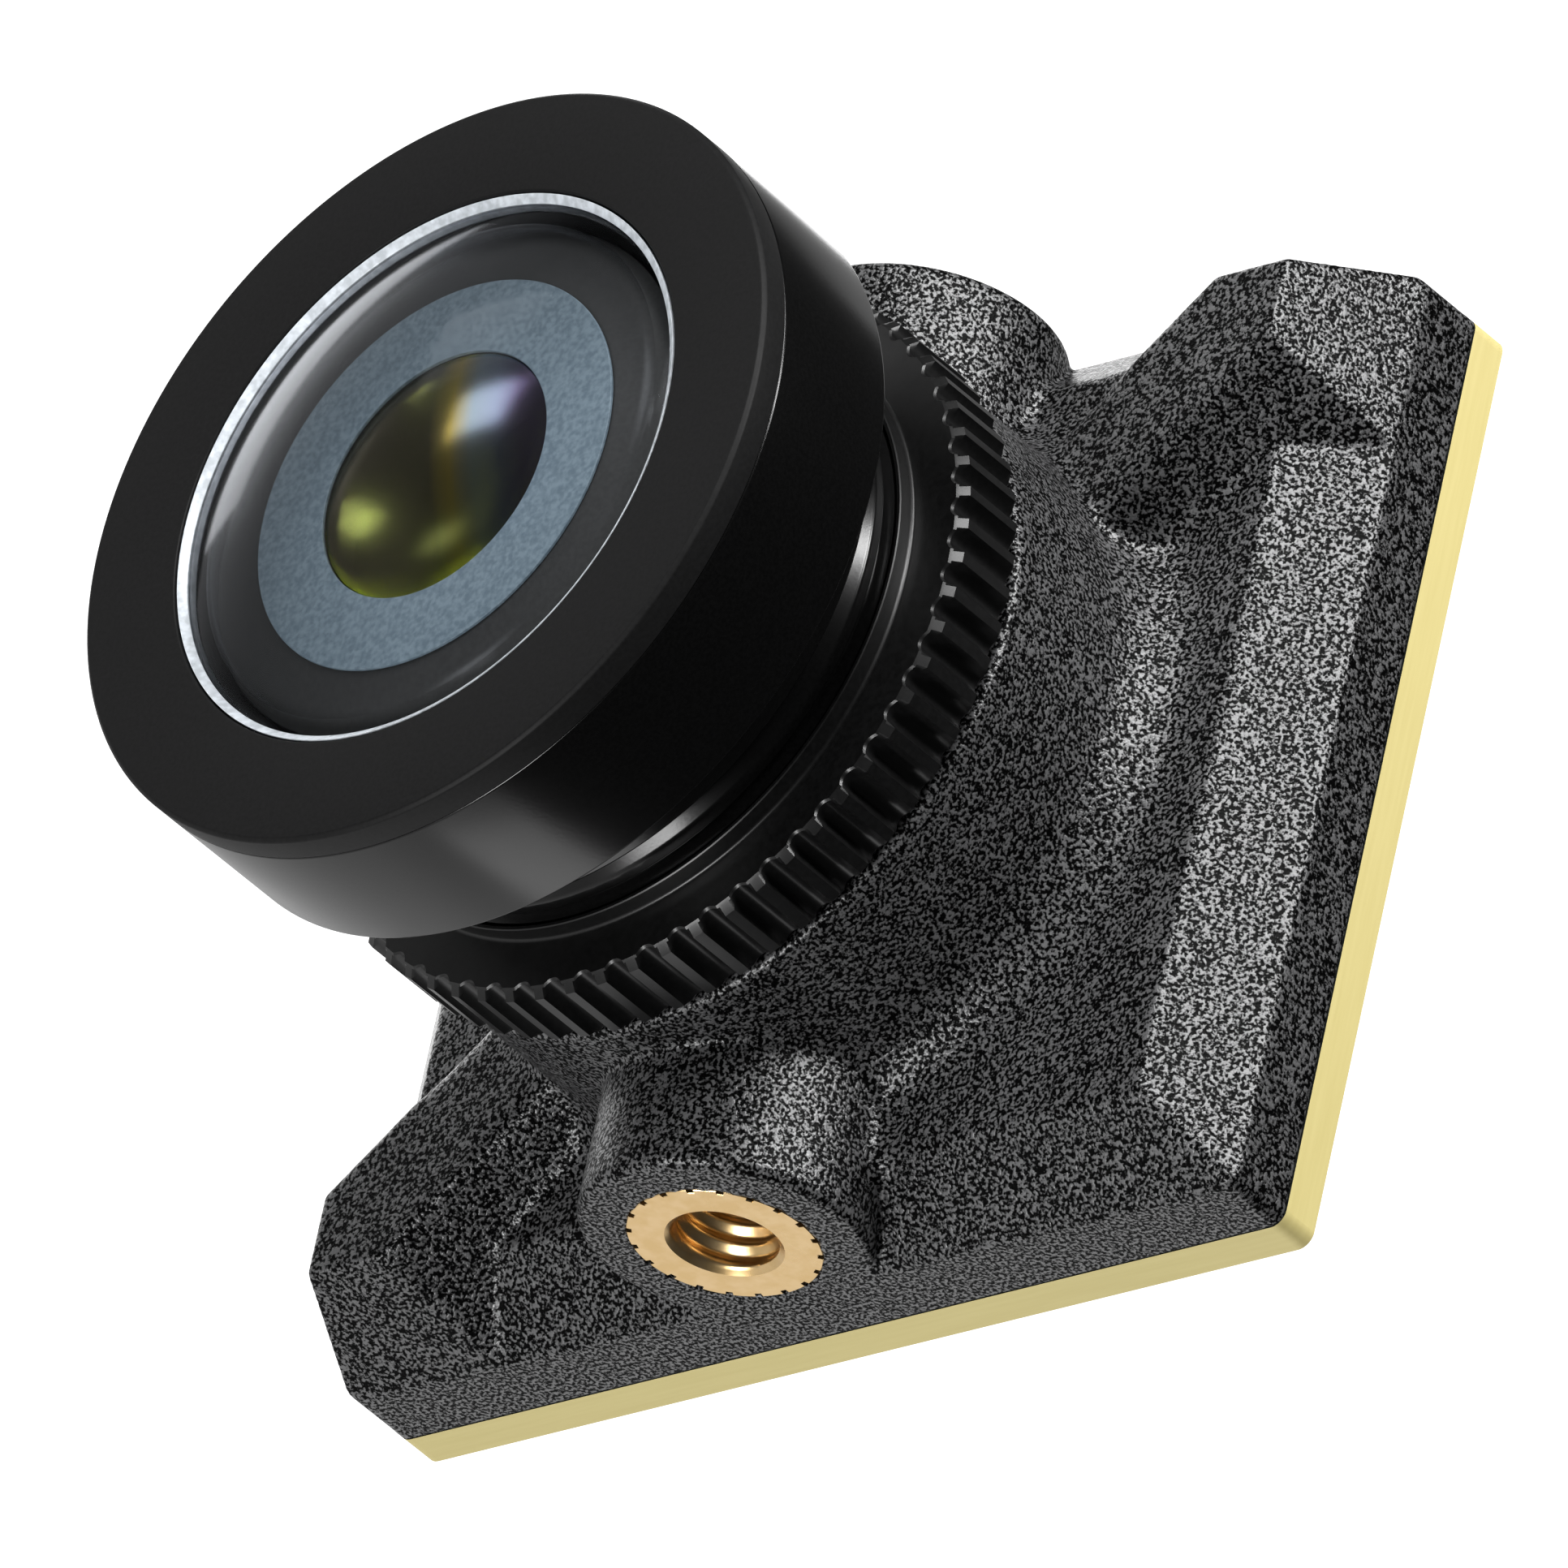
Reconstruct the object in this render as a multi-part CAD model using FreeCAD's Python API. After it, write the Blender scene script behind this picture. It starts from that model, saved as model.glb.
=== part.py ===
import FreeCAD, Part
import math
import os

V = FreeCAD.Vector
AXIS_X = V(1, 0, 0)
AXIS_Y = V(0, 1, 0)
AXIS_Z = V(0, 0, 1)

# Frame: origin where the tilt axis crosses the optical axis.
# X is the tilt axis, Z is up, the lens looks along -Y.

# Length by which a cutter or a joined solid runs past the face that it meets
overlap = 0.2

# Outline of the housing and the circuit board
width = 19.0
height = 20.5
corner_r = 0.3
board_back = 4.05
board_front = 3.25
wall_front = 1.85

# Moulded front housing
bevel_inset = 1.5
plateau_y = 0.45
ridge_y = -0.83
ridge_inset = 0.95
ridge_end = 1.65
ridge_foot = 3.55
tube_r = 7.05
tube_front = -3.5
tube_chamfer = 0.1
thread_r = 6.0
cove_r = 1.2
cove_depth = 0.5
boss_r = 2.7
boss_chamfer = 0.12
pocket_w = 13.2
pocket_h = 14.0
pocket_y = 1.4

# Threaded brass inserts for M2 side screws
insert_r = 1.78
insert_len = 2.6
insert_hole_r = 1.0
insert_lead = 0.06
knurl_count = 20
knurl_w = 0.13
knurl_d = 0.09

# Screws that hold the board to the housing
screw_x = 7.55
screw_z = 8.3
screw_r = 0.66
screw_hole_r = 0.7
board_hole_r = 0.8
screw_tip = 0.9
screw_head_r = 1.2
screw_head_h = 0.6
screw_head_chamfer = 0.2
screw_slot_l = 1.5
screw_slot_w = 0.28
screw_slot_d = 0.35

# Lens barrel, M12 x 0.5
head_r = 7.65
head_front = -11.5
head_back = -8.04
bezel_back = -10.9
bezel_spigot = -10.75
head_chamfer = 0.12
collar_r = 6.25
collar_back = -6.7
barrel_r = 5.93
relief_r = 5.68
head_edge = 0.08
relief_back = -6.42
shoulder_front = -6.12
groove_d = 0.2
groove_front = -5.78
groove_back = -5.68
groove_slope = 0.1
barrel_chamfer = 0.25
bezel_seat_r = 6.6
bezel_spigot_r = 6.58
glass_gap = 0.03
bezel_lip = 0.15
baffle_gap = 0.05
glass_chamfer = 0.1
glass_back_top = -11.3
barrel_end = -0.4
glass_r = 5.55
glass_open_r = 5.63
dome_foot = -11.32
dome_top = -12.78
glass_back = -10.2
pupil_r = 2.7
stack_r = 4.3
rear_bore_r = 3.4

# Lens stack inside the barrel, front to back
front_seat = -9.9
middle_seat = -7.0
rear_seat = -1.1
rear_counterbore_r = 4.6
seat_gap = 0.02
second_rims = (-8.7, -7.6)
second_sags = (1.1, 0.4)
third_rims = (-5.7, -3.9)
third_sags = (0.4, 0.35)
rear_rims = (-3.1, -1.8)
rear_sags = (0.3, 0.25)
front_spacer_r = 4.0
middle_spacer_r = 3.3
rear_spacer_r = 2.6
stop_wall_r = 3.1
stop_r = 1.1
stop_front = -6.3
stop_back = -6.15
filter_front = -1.5
retainer_back = -0.5

# Lock ring
ring_r = 7.25
ring_front = -5.25
ring_back = -3.62
ring_chamfer = 0.16
hub_r = 6.08
hub_front = -5.6
hub_fillet = 0.3
flute_count = 63
flute_r = 0.22
flute_centre_r = 7.2
washer_bore_r = 6.05
washer_r = 6.8

# Image sensor
sensor_w = 10.4
sensor_h = 8.6
sensor_front = 2.3
cavity_floor = 2.8
cover_front = 2.0
sensor_wall = 1.3
die_w = 6.2
die_h = 4.2
die_t = 0.25
cover_inset = 0.7
gasket_w = 12.8
gasket_h = 11.2
gasket_wall_x = 1.0
gasket_wall_z = 1.1

# Parts on the back of the board: x, z, width, height, thickness
processor_at = (-0.6, 2.0, 6.5, 6.5, 0.9)
crystal_at = (-6.4, 2.6, 2.5, 3.2, 0.7)
inductor_at = (6.2, 1.2, 3.0, 3.0, 1.2)
regulator_at = (6.2, 4.9, 2.9, 1.6, 1.1)
memory_at = (-6.4, -1.6, 3.2, 2.4, 0.9)
processor_chamfer = 0.12
inductor_chamfer = 0.35
regulator_leads = 3
regulator_pitch = 0.95
memory_leads = 4
memory_pitch = 0.8
passives_at = {
    "capacitor_1": (-4.0, 7.6, 1.6, 0.8, 0.8),
    "capacitor_2": (-1.4, 7.6, 1.6, 0.8, 0.8),
    "capacitor_3": (3.7, 1.2, 0.8, 1.6, 0.8),
    "capacitor_4": (6.2, -1.6, 2.0, 1.25, 0.9),
    "resistor_1": (1.0, 7.6, 1.0, 0.5, 0.35),
    "resistor_2": (2.8, 7.6, 1.0, 0.5, 0.35),
    "resistor_3": (3.7, 3.6, 0.5, 1.0, 0.35),
    "resistor_4": (-6.4, 5.6, 1.0, 0.5, 0.35),
}
cap_share = 0.22
body_side = 0.04
body_end = 0.05
body_top = 0.04

# Gull-wing leads of the moulded chips
standoff = 0.1
lead_half_w = 0.18
lead_half_t = 0.08
lead_knee = 0.25
lead_reach = 0.6
lead_leg = 0.15
lead_foot_t = 0.14

# Cable connector, header only
shell_w = 9.6
shell_h = 3.2
shell_depth = 3.4
shell_z = -5.4
shell_wall = 0.6
socket_h = 2.1
socket_floor = 0.9
key_w = 2.4
key_h = 1.0
key_z = 1.3
key_floor = 1.9
pin_pitch = 1.25
pin_count = 6
pin_w = 0.4
pin_z = -0.3
pin_base = 0.15
pin_tip = 2.8
tail_out = 2.3
tail_in = 0.1


def box(x0, x1, y0, y1, z0, z1):
    return Part.makeBox(x1 - x0, y1 - y0, z1 - z0, V(x0, y0, z0))


def block(x, z, w, h, y0, y1):
    return box(x - w / 2, x + w / 2, y0, y1, z - h / 2, z + h / 2)


def rod_y(r, y0, y1, x=0.0, z=0.0):
    return Part.makeCylinder(r, y1 - y0, V(x, y0, z), AXIS_Y)


def rod_x(r, x0, x1):
    return Part.makeCylinder(r, x1 - x0, V(x0, 0, 0), AXIS_X)


def turned(points):
    """Solid of revolution about the optical axis from (radius, y) corners."""
    corners = [V(r, y, 0) for r, y in points]
    wire = Part.makePolygon(corners + [corners[0]])
    return Part.Face(wire).revolve(V(0, 0, 0), AXIS_Y, 360)


def turned_edges(edges):
    wire = Part.Wire(edges)
    return Part.Face(wire).revolve(V(0, 0, 0), AXIS_Y, 360)


def line(a, b):
    return Part.makeLine(V(a[0], a[1], 0), V(b[0], b[1], 0))


def arc(a, m, b):
    return Part.Arc(V(a[0], a[1], 0), V(m[0], m[1], 0), V(b[0], b[1], 0)).toShape()


def cap_mid(r, y_rim, y_top):
    """Point half way along the arc of a spherical cap, from rim to apex."""
    sag = y_rim - y_top
    sphere = (r * r + sag * sag) / (2 * sag)
    centre = y_top + sphere
    half = math.asin(r / abs(sphere)) / 2
    return (abs(sphere) * math.sin(half), centre - sphere * math.cos(half))


def cap_y(r, rim_r, y_rim, y_top):
    """Height of a spherical cap at radius r, given its rim and its apex."""
    sag = y_rim - y_top
    sphere = (rim_r * rim_r + sag * sag) / (2 * sag)
    return y_top + sphere - math.copysign(math.sqrt(sphere * sphere - r * r), sphere)


def frustum(outer, outer_y, inner, inner_y):
    """Solid between two polygons of (x, z) corners with matching sides."""
    low = [V(x, outer_y, z) for x, z in outer]
    top = [V(x, inner_y, z) for x, z in inner]
    faces = [Part.Face(Part.makePolygon(low + [low[0]]))]
    faces.append(Part.Face(Part.makePolygon(top + [top[0]])))
    for i in range(len(low)):
        j = (i + 1) % len(low)
        faces.append(Part.Face(Part.makePolygon([low[i], low[j], top[j], top[i], low[i]])))
    return Part.Solid(Part.Shell(faces))


def rectangle(w, h):
    return [(-w / 2, -h / 2), (w / 2, -h / 2), (w / 2, h / 2), (-w / 2, h / 2)]


def rounded_plate(w, h, y0, y1, r):
    plate = block(0, 0, w, h, y0, y1)
    upright = [e for e in plate.Edges if abs(e.tangentAt(e.FirstParameter).y) > 0.9]
    return plate.makeFillet(r, upright)


def chamfered(shape, size, keep):
    return shape.makeChamfer(size, [e for e in shape.Edges if keep(e)])


def save(shape, node):
    shape.exportStep("parts/" + node + ".step")


os.makedirs("parts", exist_ok=True)

# ---------------------------------------------------------------- inserts
insert_x0 = width / 2 - insert_len
insert_body = rod_x(insert_r, insert_x0, width / 2)
notches = []
for i in range(knurl_count):
    notch = box(insert_x0, width / 2, -knurl_w / 2, knurl_w / 2, insert_r - knurl_d, insert_r + overlap)
    notch.rotate(V(0, 0, 0), AXIS_X, 360.0 * (i + 0.5) / knurl_count)
    notches.append(notch)
insert_body = insert_body.cut(Part.makeCompound(notches))
insert_hole = rod_x(insert_hole_r, insert_x0, width / 2)
insert_mouth = Part.makeCone(
    insert_hole_r, insert_hole_r + insert_lead, insert_lead, V(width / 2 - insert_lead, 0, 0), AXIS_X
)
insert_right = insert_body.cut(insert_hole).cut(insert_mouth)
insert_left = insert_right.copy()
insert_left.rotate(V(0, 0, 0), AXIS_Z, 180)
insert_plug_left = insert_body.copy()
insert_plug_left.rotate(V(0, 0, 0), AXIS_Z, 180)
save(insert_right, "insert_right")
save(insert_left, "insert_left")

# ---------------------------------------------------------------- front housing
outline = rounded_plate(width, height, tube_front - overlap, board_front, corner_r)
walls = block(0, 0, width, height, wall_front, board_front)
bevel = frustum(
    rectangle(width, height),
    wall_front,
    rectangle(width - 2 * bevel_inset, height - 2 * bevel_inset),
    plateau_y,
)
ex = width / 2 - ridge_inset
ez = height / 2 - ridge_inset
hx = width / 2
hz = height / 2
ridge_top = [
    (-ex, ez),
    (-ex, ez - ridge_end),
    (ex - ridge_end, -ez),
    (ex, -ez),
    (ex, -ez + ridge_end),
    (-ex + ridge_end, ez),
]
ridge_base = [
    (-hx, hz),
    (-hx, hz - ridge_foot),
    (hx - ridge_foot, -hz),
    (hx, -hz),
    (hx, -hz + ridge_foot),
    (-hx + ridge_foot, hz),
]
ridge = frustum(ridge_base, wall_front, ridge_top, ridge_y)
tube = turned(
    [
        (0, wall_front),
        (tube_r, wall_front),
        (tube_r, tube_front + tube_chamfer),
        (tube_r - tube_chamfer, tube_front),
        (0, tube_front),
    ]
)
cove_outer = tube_r + cove_r
cove_bend = cove_r * (1 - math.sqrt(0.5))
cove = turned_edges(
    [
        line((tube_r - cove_depth, plateau_y + overlap), (cove_outer, plateau_y + overlap)),
        line((cove_outer, plateau_y + overlap), (cove_outer, plateau_y)),
        arc(
            (cove_outer, plateau_y),
            (tube_r + cove_bend, plateau_y - cove_bend),
            (tube_r, plateau_y - cove_r),
        ),
        line((tube_r, plateau_y - cove_r), (tube_r - cove_depth, plateau_y - cove_r)),
        line((tube_r - cove_depth, plateau_y - cove_r), (tube_r - cove_depth, plateau_y + overlap)),
    ]
)
bosses = chamfered(rod_x(boss_r, -width / 2, width / 2), boss_chamfer, lambda e: e.Closed)
housing = walls.fuse([bevel, ridge, tube, cove, bosses]).removeSplitter()
housing = housing.common(outline)
housing = housing.cut(rod_y(thread_r, tube_front - overlap, pocket_y))
housing = housing.cut(block(0, 0, pocket_w, pocket_h, pocket_y, board_front))
housing = housing.cut([insert_body, insert_plug_left])
for sx in (-1, 1):
    housing = housing.cut(rod_y(screw_hole_r, screw_tip - overlap, board_front, sx * screw_x, -sx * screw_z))
save(housing, "front_housing")

# ---------------------------------------------------------------- circuit board
board = rounded_plate(width, height, board_front, board_back, corner_r)
for sx in (-1, 1):
    board = board.cut(rod_y(board_hole_r, board_front, board_back, sx * screw_x, -sx * screw_z))
save(board, "circuit_board")

# ---------------------------------------------------------------- board screws
for sx, node in ((-1, "board_screw_upper"), (1, "board_screw_lower")):
    x = sx * screw_x
    z = -sx * screw_z
    shank = rod_y(screw_r, screw_tip, board_back, x, z)
    head = rod_y(screw_head_r, board_back, board_back + screw_head_h, x, z)
    top = board_back + screw_head_h
    head = chamfered(head, screw_head_chamfer, lambda e: e.Closed and abs(e.BoundBox.Center.y - top) < 0.01)
    slot_a = block(x, z, screw_slot_l, screw_slot_w, top - screw_slot_d, top)
    slot_b = block(x, z, screw_slot_w, screw_slot_l, top - screw_slot_d, top)
    save(shank.fuse(head).cut([slot_a, slot_b]), node)

# ---------------------------------------------------------------- image sensor
package = block(0, 0, sensor_w, sensor_h, sensor_front, board_front)
cavity = block(0, 0, sensor_w - 2 * sensor_wall, sensor_h - 2 * sensor_wall, sensor_front, cavity_floor)
save(package.cut(cavity), "sensor_package")
save(block(0, 0, die_w, die_h, cavity_floor - die_t, cavity_floor), "sensor_die")
cover = block(0, 0, sensor_w - 2 * cover_inset, sensor_h - 2 * cover_inset, cover_front, sensor_front)
save(cover, "sensor_cover_glass")
gasket = block(0, 0, gasket_w, gasket_h, pocket_y, board_front)
window = block(0, 0, gasket_w - 2 * gasket_wall_x, gasket_h - 2 * gasket_wall_z, pocket_y, board_front)
save(gasket.cut(window), "dust_gasket")

# ---------------------------------------------------------------- parts on the back of the board
back = board_back


def on_board(at):
    x, z, w, h, tall = at
    return block(x, z, w, h, back, back + tall)


def leaded_chip(at, leads, pitch):
    """Moulded package with gull-wing leads on its two long sides."""
    x, z, w, h, tall = at
    chip = block(x, z, w, h, back + standoff, back + tall)
    mid = back + tall / 2
    for side in (-1, 1):
        z0 = z + side * h / 2
        z1 = z0 + side * lead_knee
        z2 = z0 + side * lead_reach
        z3 = z1 + side * lead_leg
        for i in range(leads):
            left = x + (i - (leads - 1) / 2) * pitch - lead_half_w
            right = left + 2 * lead_half_w
            arm = box(left, right, mid - lead_half_t, mid + lead_half_t, min(z0, z1), max(z0, z1))
            leg = box(left, right, back, mid + lead_half_t, min(z1, z3), max(z1, z3))
            foot = box(left, right, back, back + lead_foot_t, min(z1, z2), max(z1, z2))
            chip = chip.fuse([arm, leg, foot])
    return chip.removeSplitter()


def end_capped(x, z, w, h, tall):
    """Chip capacitor or resistor: body with a thicker metal cap at each end of its longer side."""
    cap = cap_share * max(w, h)
    top = back + tall
    if h > w:
        body = block(x, z, w - 2 * body_side, h - 2 * body_end, back, top - body_top)
        ends = [block(x, z + s * (h - cap) / 2, w, cap, back, top) for s in (-1, 1)]
    else:
        body = block(x, z, w - 2 * body_end, h - 2 * body_side, back, top - body_top)
        ends = [block(x + s * (w - cap) / 2, z, cap, h, back, top) for s in (-1, 1)]
    return body.fuse(ends)


processor_top = back + processor_at[4]
processor = chamfered(
    on_board(processor_at), processor_chamfer, lambda e: abs(e.BoundBox.Center.y - processor_top) < 0.01
)
save(processor, "image_processor")
save(on_board(crystal_at), "crystal_oscillator")
inductor = chamfered(
    on_board(inductor_at), inductor_chamfer, lambda e: abs(e.tangentAt(e.FirstParameter).y) > 0.9
)
save(inductor, "power_inductor")
save(leaded_chip(regulator_at, regulator_leads, regulator_pitch), "voltage_regulator")
save(leaded_chip(memory_at, memory_leads, memory_pitch), "memory_chip")
for node, at in passives_at.items():
    save(end_capped(*at), node)

# ---------------------------------------------------------------- cable connector, header only
shell_top = back + shell_depth
shell = block(0, shell_z, shell_w, shell_h, back, shell_top)
shell = shell.cut(block(0, shell_z, shell_w - 2 * shell_wall, socket_h, back + socket_floor, shell_top))
shell = shell.cut(block(0, shell_z + key_z, key_w, key_h, back + key_floor, shell_top))
for i in range(pin_count):
    px = (i - (pin_count - 1) / 2) * pin_pitch
    stem = block(px, shell_z + pin_z, pin_w, pin_w, back + pin_base, back + pin_tip)
    tail = box(px - pin_w / 2, px + pin_w / 2, back, back + pin_base, shell_z - tail_out, shell_z - tail_in)
    pin = stem.fuse(tail)
    shell = shell.cut(pin)
    save(pin, "connector_pin_%d" % (i + 1))
save(shell, "connector_shell")

# ---------------------------------------------------------------- lens barrel and its metal parts
barrel = turned(
    [
        (head_r, bezel_back),
        (head_r, head_back - head_edge),
        (head_r - head_edge, head_back),
        (collar_r, head_back),
        (collar_r, collar_back),
        (relief_r, collar_back),
        (relief_r, relief_back),
        (barrel_r, shoulder_front),
        (barrel_r, groove_front - groove_slope),
        (barrel_r - groove_d, groove_front),
        (barrel_r - groove_d, groove_back),
        (barrel_r, groove_back + groove_slope),
        (barrel_r, barrel_end - barrel_chamfer),
        (barrel_r - barrel_chamfer, barrel_end),
        (rear_counterbore_r, barrel_end),
        (rear_counterbore_r, rear_seat),
        (rear_bore_r, rear_seat),
        (rear_bore_r, middle_seat),
        (stack_r, middle_seat),
        (stack_r, front_seat),
        (glass_r + glass_gap, front_seat),
        (glass_r + glass_gap, bezel_spigot),
        (bezel_seat_r, bezel_spigot),
        (bezel_seat_r, bezel_back),
    ]
)
save(barrel, "lens_barrel")
bezel = turned(
    [
        (glass_open_r, head_front),
        (head_r - head_chamfer, head_front),
        (head_r, head_front + head_chamfer),
        (head_r, bezel_back),
        (bezel_spigot_r, bezel_back),
        (bezel_spigot_r, bezel_spigot),
        (glass_r + glass_gap, bezel_spigot),
        (glass_r + glass_gap, head_front + bezel_lip),
    ]
)
save(bezel, "front_bezel")


def sleeve(inner, outer, y0, y1):
    return turned([(inner, y0), (outer, y0), (outer, y1), (inner, y1)])


stack_fit_r = stack_r - seat_gap
rear_fit_r = rear_bore_r - seat_gap
second_tops = (second_rims[0] - second_sags[0], second_rims[1] + second_sags[1])
third_tops = (third_rims[0] - third_sags[0], third_rims[1] + third_sags[1])
rear_tops = (rear_rims[0] - rear_sags[0], rear_rims[1] + rear_sags[1])
second_front_y = cap_y(front_spacer_r, stack_fit_r, second_rims[0], second_tops[0])
second_back_y = cap_y(middle_spacer_r, stack_fit_r, second_rims[1], second_tops[1])
third_front_y = cap_y(stop_wall_r, rear_fit_r, third_rims[0], third_tops[0])
third_back_y = cap_y(rear_spacer_r, rear_fit_r, third_rims[1], third_tops[1])
rear_front_y = cap_y(rear_spacer_r, rear_fit_r, rear_rims[0], rear_tops[0])
save(sleeve(pupil_r, glass_r - baffle_gap, glass_back, front_seat), "baffle_ring")
save(sleeve(front_spacer_r, stack_fit_r, front_seat + seat_gap, second_front_y - seat_gap), "front_spacer")
save(sleeve(middle_spacer_r, stack_fit_r, second_back_y + seat_gap, middle_seat), "spacer_ring")
stop = sleeve(stop_wall_r, rear_fit_r, middle_seat + seat_gap, third_front_y - seat_gap)
save(stop.fuse(sleeve(stop_r, stop_wall_r, stop_front, stop_back)), "aperture_stop")
save(sleeve(rear_spacer_r, rear_fit_r, third_back_y + seat_gap, rear_front_y - seat_gap), "rear_spacer")
save(sleeve(rear_spacer_r, rear_counterbore_r - seat_gap, rear_seat, retainer_back), "rear_retainer")

# ---------------------------------------------------------------- glass, all of it round about the axis
dome_r = glass_r - glass_chamfer
dome = turned_edges(
    [
        arc((dome_r, dome_foot), cap_mid(dome_r, dome_foot, dome_top), (0, dome_top)),
        line((0, dome_top), (0, glass_back_top)),
        arc((0, glass_back_top), cap_mid(pupil_r, glass_back, glass_back_top), (pupil_r, glass_back)),
        line((pupil_r, glass_back), (glass_r, glass_back)),
        line((glass_r, glass_back), (glass_r, dome_foot + glass_chamfer)),
        line((glass_r, dome_foot + glass_chamfer), (dome_r, dome_foot)),
    ]
)
save(dome, "dome_glass")


def lens_element(r, rims, tops):
    """Biconvex element: front and back rim heights, each face domed outwards to its apex."""
    return turned_edges(
        [
            arc((r, rims[0]), cap_mid(r, rims[0], tops[0]), (0, tops[0])),
            line((0, tops[0]), (0, tops[1])),
            arc((0, tops[1]), cap_mid(r, rims[1], tops[1]), (r, rims[1])),
            line((r, rims[1]), (r, rims[0])),
        ]
    )


save(lens_element(stack_fit_r, second_rims, second_tops), "second_element")
save(lens_element(rear_fit_r, third_rims, third_tops), "third_element")
save(lens_element(rear_fit_r, rear_rims, rear_tops), "rear_element")
save(rod_y(rear_fit_r, filter_front, rear_seat), "infrared_filter")

# ---------------------------------------------------------------- lock ring and its washer
bend = hub_fillet * (1 - math.sqrt(0.5))
ring = turned_edges(
    [
        line((thread_r, ring_back), (ring_r - ring_chamfer, ring_back)),
        line((ring_r - ring_chamfer, ring_back), (ring_r, ring_back - ring_chamfer)),
        line((ring_r, ring_back - ring_chamfer), (ring_r, ring_front + ring_chamfer)),
        line((ring_r, ring_front + ring_chamfer), (ring_r - ring_chamfer, ring_front)),
        line((ring_r - ring_chamfer, ring_front), (hub_r + hub_fillet, ring_front)),
        arc(
            (hub_r + hub_fillet, ring_front),
            (hub_r + bend, ring_front - bend),
            (hub_r, ring_front - hub_fillet),
        ),
        line((hub_r, ring_front - hub_fillet), (hub_r, hub_front)),
        line((hub_r, hub_front), (thread_r, hub_front)),
        line((thread_r, hub_front), (thread_r, ring_back)),
    ]
)
flutes = []
for i in range(flute_count):
    a = 2 * math.pi * i / flute_count
    cx = flute_centre_r * math.cos(a)
    cz = flute_centre_r * math.sin(a)
    flutes.append(rod_y(flute_r, hub_front, ring_back + overlap, cx, cz))
ring = ring.cut(flutes)
save(ring, "lock_ring")
save(sleeve(washer_bore_r, washer_r, ring_back, tube_front), "lock_ring_washer")
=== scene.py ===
import math
import random
import bmesh
import bpy
from mathutils import Matrix, Vector


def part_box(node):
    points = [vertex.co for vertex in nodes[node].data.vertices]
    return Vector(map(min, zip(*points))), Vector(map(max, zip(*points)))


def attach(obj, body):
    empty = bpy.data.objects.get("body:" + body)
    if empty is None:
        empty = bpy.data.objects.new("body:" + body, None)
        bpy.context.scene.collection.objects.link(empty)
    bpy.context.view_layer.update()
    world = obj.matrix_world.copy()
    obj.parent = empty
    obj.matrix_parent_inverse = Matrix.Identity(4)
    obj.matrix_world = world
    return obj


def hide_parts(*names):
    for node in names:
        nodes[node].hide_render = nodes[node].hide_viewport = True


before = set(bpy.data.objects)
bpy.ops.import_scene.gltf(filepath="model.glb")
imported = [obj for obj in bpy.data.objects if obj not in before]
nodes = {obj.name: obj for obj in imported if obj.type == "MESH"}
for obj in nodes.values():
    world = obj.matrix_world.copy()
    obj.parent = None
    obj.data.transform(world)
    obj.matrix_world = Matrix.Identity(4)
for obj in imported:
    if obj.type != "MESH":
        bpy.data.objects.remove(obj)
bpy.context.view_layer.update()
MM = 0.001

# ------------------------------------------------------------------ sizes, in millimetres


def box_mm(node):
    low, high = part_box(node)
    return low / MM, high / MM


barrel_low, barrel_high = box_mm("lens_barrel")
bezel_low, _ = box_mm("front_bezel")
board_low, board_high = box_mm("circuit_board")
housing_low, housing_high = box_mm("front_housing")
glass_low, glass_high = box_mm("dome_glass")
_, ring_high = box_mm("lock_ring")
insert_low, insert_high = box_mm("insert_right")

# the head and the threaded barrel; every y is a depth along the optical axis, the front being lowest
head_r = barrel_high.x
head_front = bezel_low.y
bezel_back = barrel_low.y
barrel_end = barrel_high.y
board_front = board_low.y
board_back = board_high.y
board_half_x = board_high.x
board_half_z = board_high.z
insert_r = insert_high.z
dome_top = glass_low.y
glass_r = glass_high.x
head_back = -8.04
collar_r = 6.25
collar_back = -6.7
relief_r = 5.68
relief_back = -6.42
barrel_r = 5.93
groove_front = -5.78
groove_back = -5.68
thread_front = -5.58
thread_depth = 0.2
thread_pitch = 0.5
thread_run_out = 0.3
thread_end_gap = 0.25
thread_rows_per_turn = 12
cup_r = 5.58
cup_floor = -9.9
cell_bore_r = 4.3
cell_bore_floor = -7.0
stop_bore_r = 3.4
rear_bore_r = 4.6
rear_bore_floor = -1.1

# the bezel, the painted baffle and the black cell behind it
glass_open_r = 5.63
glass_open_back_r = 5.6
glass_open_depth = 0.15
bezel_chamfer = 0.07
baffle_y = -11.19
baffle_r = 3.98
baffle_thick = 0.07
pupil_r = 2.52
cell_front = baffle_y + 0.08
cell_r = 5.2
cell_shoulder = -10.8
cell_back = -9.95

# the front meniscus, its ground edge and the coated element
glass_seat = -10.25
glass_seat_inner_r = 5.3
glass_land = -11.22
dome_r = 5.45
dome_rim = -11.32
hollow_r = 5.05
hollow_rim = -11.3
hollow_top = -12.62
ground_r = 5.58
element_r = 2.5
element_rim = -11.12
element_top = -11.62
element_back_rim = -11.08
element_bottom = -9.98

# the lock ring
ring_r = 7.25
ring_front = -5.25
ring_back = ring_high.y
hub_front = -5.6
segments = 192

# coatings change colour along this direction, one colour to each step
coat_direction = (-0.24, 0.0, 0.97)
coat_start = 0.2
coat_step = 0.45

# ------------------------------------------------------------------ mesh helpers


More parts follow.
